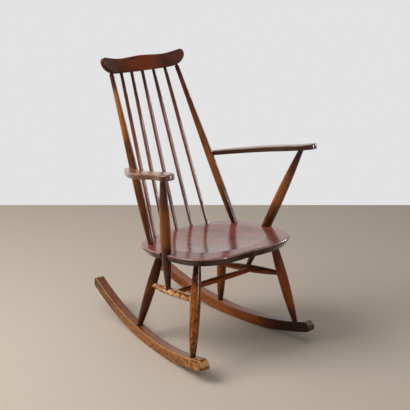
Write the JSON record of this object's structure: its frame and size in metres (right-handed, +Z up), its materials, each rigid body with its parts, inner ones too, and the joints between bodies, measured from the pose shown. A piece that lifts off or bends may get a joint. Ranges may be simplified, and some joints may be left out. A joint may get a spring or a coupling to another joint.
{
  "type": "rocking chair",
  "caption": "Stick-back wooden rocking chair: dished seat, shaped crest rail on turned posts and sticks, open arms on raked posts, turned legs, H stretcher and bow rockers.",
  "frame": {"origin": "on the floor, at the middle of the rockers' length and of the chair's width", "axes": "+Z up, -Y towards the sitter's front, +X towards the sitter's left"},
  "size_m": [0.669, 0.759, 0.9759],
  "materials": {
    "frame_wood": "dark brown stained beech, satin varnish with worn edges",
    "seat_wood": "reddish brown stained elm with cathedral grain, satin varnish",
    "plug_wood": "dark stained face grain hardwood",
    "screw_steel": "plain steel countersunk screws"
  },
  "bodies": {
    "root": {"arm_left": "frame_wood", "arm_post_left": "frame_wood", "arm_post_right": "frame_wood", "arm_right": "frame_wood", "arm_screws": "screw_steel", "back_post_left": "frame_wood", "back_post_right": "frame_wood", "back_stick_1": "frame_wood", "back_stick_2": "frame_wood", "back_stick_3": "frame_wood", "back_stick_4": "frame_wood", "back_stick_5": "frame_wood", "crest_rail": "frame_wood", "cross_stretcher": "frame_wood", "front_leg_left": "frame_wood", "front_leg_right": "frame_wood", "rear_leg_left": "frame_wood", "rear_leg_right": "frame_wood", "rocker_left": "frame_wood", "rocker_right": "frame_wood", "screw_plugs": "plug_wood", "seat": "seat_wood", "seat_edge_screws": "screw_steel", "side_stretcher_left": "frame_wood", "side_stretcher_right": "frame_wood"}
  },
  "joints": []
}
